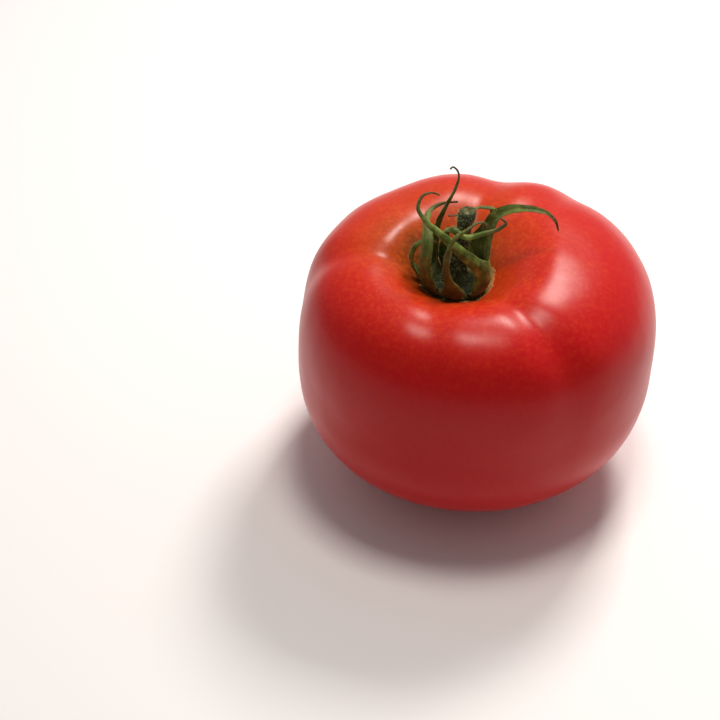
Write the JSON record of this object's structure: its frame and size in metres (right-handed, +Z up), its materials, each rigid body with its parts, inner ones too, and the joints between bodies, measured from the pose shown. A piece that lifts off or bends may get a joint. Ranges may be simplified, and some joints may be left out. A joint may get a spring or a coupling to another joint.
{
  "type": "tomato",
  "caption": "Whole ripe lobed tomato as picked, standing on its blossom end, with a cut stem and a cage of curled sepals in the hollow on top.",
  "frame": {"origin": "middle of the small flat spot at the blossom end that the fruit rests on", "axes": "+Z up along the stem, -Y towards the front of the fruit, +X to its right"},
  "size_m": [0.0864, 0.0856, 0.0828],
  "materials": {
    "tomato_skin": "smooth waxy ripe tomato skin, red with orange shoulders",
    "green_stem": "downy green stem with a dry tan cut end",
    "sepal_green": "downy green sepal, brown and dry at its tip"
  },
  "bodies": {
    "root": {"fruit": "tomato_skin", "stem": "green_stem", "sepal_1": "sepal_green", "sepal_2": "sepal_green", "sepal_3": "sepal_green", "sepal_4": "sepal_green", "sepal_5": "sepal_green", "sepal_6": "sepal_green", "sepal_7": "sepal_green", "sepal_8": "sepal_green"}
  },
  "joints": []
}
